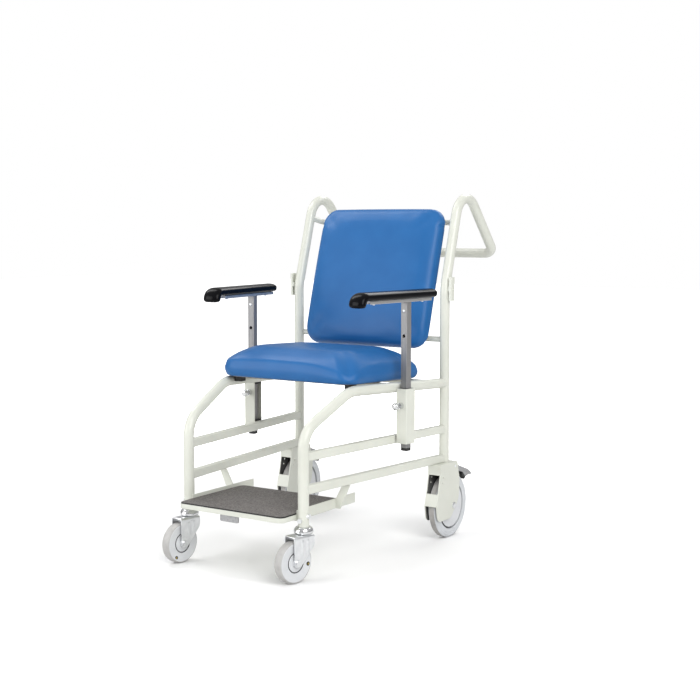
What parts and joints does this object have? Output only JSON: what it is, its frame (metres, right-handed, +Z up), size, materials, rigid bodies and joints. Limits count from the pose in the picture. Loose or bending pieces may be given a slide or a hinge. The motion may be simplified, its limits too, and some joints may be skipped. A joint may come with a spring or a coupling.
{
  "type": "porter chair",
  "caption": "Porter chair with a bent-tube frame, drop-down arms, a cross push bar, a slide-away footplate, swivel castors and braked rear wheels",
  "frame": {"origin": "on the floor under the middle of the chair's bounding box", "axes": "+X to the sitter's left, +Y to the rear, so the chair faces -Y, and +Z up"},
  "size_m": [0.591, 0.9859, 0.9711],
  "materials": {
    "cream_paint": "semi-gloss powder coat",
    "blue_vinyl": "fine-grained coated fabric",
    "black_pad": "self-skinned foam, slightly glossy",
    "bare_aluminium": "satin extrusion",
    "zinc_plate": "bright zinc plate",
    "bright_chrome": "polished plate",
    "grey_tyre": "soft grey rubber",
    "grey_hub": "moulded nylon",
    "grit_mat": "gritty non-slip sheet",
    "panel_board": "sealed board",
    "black_rubber": "matt",
    "grey_casting": "satin grey"
  },
  "bodies": {
    "frame": {"accessory_bars": "cream_paint", "arm_guides": "black_rubber", "arm_socket_left": "cream_paint", "arm_socket_right": "cream_paint", "back_board": "panel_board", "back_brackets": "cream_paint", "back_cushion": "blue_vinyl", "back_post_left": "cream_paint", "back_post_right": "cream_paint", "brake_pins": "zinc_plate", "castor_stems": "bright_chrome", "footplate_runner_left": "cream_paint", "footplate_runner_right": "cream_paint", "frame_bolts": "zinc_plate", "low_rail_left": "cream_paint", "low_rail_right": "cream_paint", "lower_back_bar": "cream_paint", "mid_rail_left": "cream_paint", "mid_rail_right": "cream_paint", "plunger_collars": "bright_chrome", "rear_axles": "zinc_plate", "runner_hangers": "cream_paint", "seat_bars": "cream_paint", "seat_board": "panel_board", "seat_cushion": "blue_vinyl", "seat_stops": "black_rubber", "side_tube_left": "cream_paint", "side_tube_right": "cream_paint", "upper_back_hoop": "cream_paint", "wheel_housing_left": "cream_paint", "wheel_housing_right": "cream_paint"},
    "castor_left": {"castor_fork_left": "zinc_plate", "castor_axle_left": "zinc_plate"},
    "castor_wheel_left": {"castor_tyre_left": "grey_tyre", "castor_hub_left": "grey_hub"},
    "rear_wheel_left": {"rear_tyre_left": "grey_tyre", "rear_hub_left": "grey_hub"},
    "brake_left": {"brake_pedal_left": "grey_casting", "brake_shoe_left": "black_rubber"},
    "arm_left": {"arm_post_left": "bare_aluminium", "arm_channel_left": "bare_aluminium", "arm_pad_left": "black_pad", "arm_end_cap_left": "black_rubber"},
    "index_pin_left": {"plunger_left": "bright_chrome"},
    "castor_right": {"castor_fork_right": "zinc_plate", "castor_axle_right": "zinc_plate"},
    "castor_wheel_right": {"castor_tyre_right": "grey_tyre", "castor_hub_right": "grey_hub"},
    "rear_wheel_right": {"rear_tyre_right": "grey_tyre", "rear_hub_right": "grey_hub"},
    "brake_right": {"brake_pedal_right": "grey_casting", "brake_shoe_right": "black_rubber"},
    "arm_right": {"arm_post_right": "bare_aluminium", "arm_channel_right": "bare_aluminium", "arm_pad_right": "black_pad", "arm_end_cap_right": "black_rubber"},
    "index_pin_right": {"plunger_right": "bright_chrome"},
    "footplate": {"footplate_tray": "cream_paint", "footplate_mat": "grit_mat", "pull_tab": "grey_casting"}
  },
  "joints": [
    {"name": "castor_swivel_left", "type": "hinge", "parent": "frame", "child": "castor_left", "pos_m": [0.185, -0.40436, 0.119], "axis": [0, 0, 1], "continuous": true},
    {"name": "castor_roll_left", "type": "hinge", "parent": "castor_left", "child": "castor_wheel_left", "pos_m": [0.17752, -0.43957, 0.0525], "axis": [0.9781, -0.2079, 0], "continuous": true},
    {"name": "rear_roll_left", "type": "hinge", "parent": "frame", "child": "rear_wheel_left", "pos_m": [0.256, 0.19864, 0.091], "axis": [1, 0, 0], "continuous": true},
    {"name": "brake_press_left", "type": "hinge", "parent": "frame", "child": "brake_left", "pos_m": [0.256, 0.20764, 0.202], "axis": [-1, 0, 0], "range_deg": [0, 5.3]},
    {"name": "arm_drop_left", "type": "slide", "parent": "frame", "child": "arm_left", "axis": [0, 0, 1], "range_m": [-0.185, 0]},
    {"name": "index_pin_push_left", "type": "slide", "parent": "frame", "child": "index_pin_left", "axis": [0.1112, 0.9938, 0], "range_m": [0, 0.006], "stiffness_N_per_m": 300, "springref_m": 0.01},
    {"name": "castor_swivel_right", "type": "hinge", "parent": "frame", "child": "castor_right", "pos_m": [-0.185, -0.40436, 0.119], "axis": [0, 0, 1], "continuous": true},
    {"name": "castor_roll_right", "type": "hinge", "parent": "castor_right", "child": "castor_wheel_right", "pos_m": [-0.18876, -0.44016, 0.0525], "axis": [0.9945, -0.1045, 0], "continuous": true},
    {"name": "rear_roll_right", "type": "hinge", "parent": "frame", "child": "rear_wheel_right", "pos_m": [-0.256, 0.19864, 0.091], "axis": [1, 0, 0], "continuous": true},
    {"name": "brake_press_right", "type": "hinge", "parent": "frame", "child": "brake_right", "pos_m": [-0.256, 0.20764, 0.202], "axis": [-1, 0, 0], "range_deg": [0, 5.3]},
    {"name": "arm_drop_right", "type": "slide", "parent": "frame", "child": "arm_right", "axis": [0, 0, 1], "range_m": [-0.185, 0]},
    {"name": "index_pin_push_right", "type": "slide", "parent": "frame", "child": "index_pin_right", "axis": [-0.1112, 0.9938, 0], "range_m": [0, 0.006], "stiffness_N_per_m": 300, "springref_m": 0.01},
    {"name": "footplate_slide", "type": "slide", "parent": "frame", "child": "footplate", "axis": [0, 1, 0], "range_m": [0, 0.15]}
  ]
}
